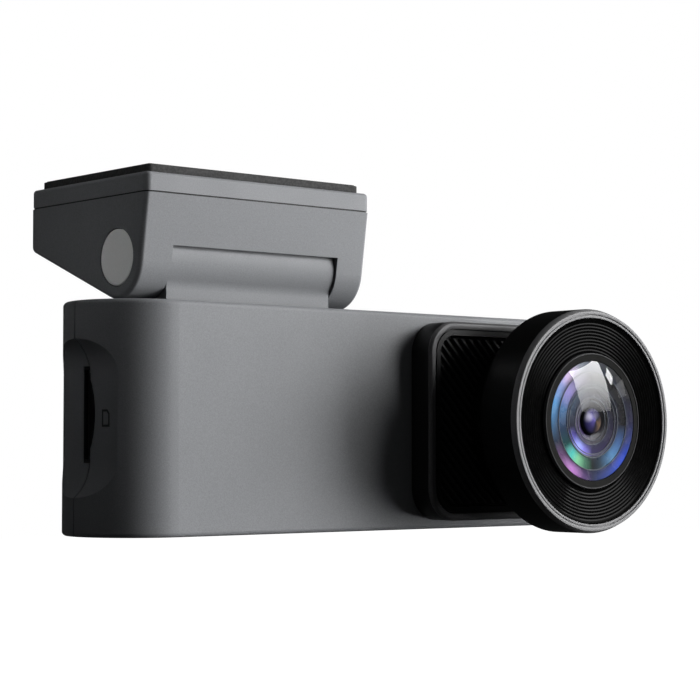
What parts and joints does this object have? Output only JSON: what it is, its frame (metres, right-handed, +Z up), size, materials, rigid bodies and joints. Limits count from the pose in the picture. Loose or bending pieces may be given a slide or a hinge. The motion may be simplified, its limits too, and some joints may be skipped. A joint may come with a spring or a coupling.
{
  "type": "dash camera",
  "caption": "Pill-shaped windscreen dash camera hanging from a wedge-shaped adhesive mount on a tilting hinge, with a large round lens at one end of its front and a card slot in its left end.",
  "frame": {"origin": "centre of the adhesive pad's upper face, which meets the windscreen", "axes": "+Z up, along the pad's outward normal; the lens looks along -Y; +X along the body towards the lens end, and the card leaves along -X"},
  "size_m": [0.0979, 0.0477, 0.0481],
  "materials": {
    "grey_plastic": "fine metallic grain, dark grey",
    "pad_foam": "dense adhesive foam",
    "cap_grey": "plain mid grey",
    "black_plastic": "satin black",
    "black_metal": "satin black",
    "rim_metal": "satin dark grey with a bright bevel",
    "gloss_black": "gloss black, fine concentric grooves",
    "dark_metal": "flat dark grey",
    "coated_glass": "clear glass, blue and violet coating",
    "filter_glass": "thin blue-green filter",
    "steel": "zinc-plated steel",
    "aluminium": "plain sheet",
    "board_green": "green circuit board",
    "chip_black": "moulded chip",
    "pad_grey": "soft silicone pad",
    "shield_can": "tinned steel",
    "copper_film": "copper on film",
    "can_sleeve": "printed film sleeve, left plain",
    "connector_white": "ivory plastic",
    "ribbon_amber": "amber film",
    "card_black": "black card",
    "mesh_black": "woven dust mesh",
    "clear_plastic": "clear acrylic",
    "screen_panel": "display module",
    "screen_glass": "black-printed cover glass",
    "key_grey": "fine grain, dark grey"
  },
  "bodies": {
    "mount": {"adhesive_pad": "pad_foam", "mount_cap": "grey_plastic", "cap_screws": "steel", "mount_housing": "grey_plastic", "hinge_pin": "steel", "wave_washer": "steel", "hinge_nut": "steel", "friction_washers": "steel", "pin_cap_left": "cap_grey", "pin_cap_right": "cap_grey"},
    "camera": {"stem": "grey_plastic", "front_shell": "grey_plastic", "rear_shell": "grey_plastic", "case_screws": "steel", "lens_frame": "black_plastic", "ribbed_panel": "black_plastic", "lens_barrel": "black_metal", "lens_rim": "rim_metal", "lens_dish": "gloss_black", "glass_retainer": "dark_metal", "front_glass": "coated_glass", "lens_cell": "black_metal", "second_lens": "coated_glass", "third_lens": "coated_glass", "fourth_lens": "coated_glass", "rear_lens": "coated_glass", "lens_spacers": "black_metal", "aperture_stop": "black_metal", "lens_holder": "black_plastic", "holder_screws": "steel", "infrared_filter": "filter_glass", "image_sensor": "chip_black", "sensor_board": "board_green", "main_board": "board_green", "processor": "chip_black", "thermal_pad": "pad_grey", "heat_spreader": "aluminium", "memory_chip": "chip_black", "power_inductors": "chip_black", "motion_sensor": "chip_black", "wireless_module": "shield_can", "antenna_patch": "copper_film", "supercapacitors": "can_sleeve", "ribbon_connectors": "connector_white", "ribbon_cable": "ribbon_amber", "card_socket": "shield_can", "usb_socket": "shield_can", "speaker": "black_plastic", "speaker_mesh": "mesh_black", "microphone": "shield_can", "status_led": "connector_white", "light_pipe": "clear_plastic", "display_panel": "screen_panel", "display_glass": "screen_glass", "key_switches": "chip_black"},
    "memory_card": {"memory_card": "card_black"},
    "menu_key": {"menu_key": "key_grey"},
    "up_key": {"up_key": "key_grey"},
    "down_key": {"down_key": "key_grey"},
    "power_key": {"power_key": "key_grey"}
  },
  "joints": [
    {"name": "tilt", "type": "hinge", "parent": "mount", "child": "camera", "pos_m": [0, -0.00705, -0.0118], "axis": [1, 0, 0], "range_deg": [-35, 20]},
    {"name": "card_slide", "type": "slide", "parent": "camera", "child": "memory_card", "axis": [-1, 0, 0], "range_m": [0, 0.0145]},
    {"name": "menu_key_press", "type": "slide", "parent": "camera", "child": "menu_key", "axis": [0, -1, 0], "range_m": [0, 0.00045], "stiffness_N_per_m": 1500, "springref_m": -0.0002},
    {"name": "up_key_press", "type": "slide", "parent": "camera", "child": "up_key", "axis": [0, -1, 0], "range_m": [0, 0.00045], "stiffness_N_per_m": 1500, "springref_m": -0.0002},
    {"name": "down_key_press", "type": "slide", "parent": "camera", "child": "down_key", "axis": [0, -1, 0], "range_m": [0, 0.00045], "stiffness_N_per_m": 1500, "springref_m": -0.0002},
    {"name": "power_key_press", "type": "slide", "parent": "camera", "child": "power_key", "axis": [0, -1, 0], "range_m": [0, 0.00045], "stiffness_N_per_m": 1500, "springref_m": -0.0002}
  ]
}
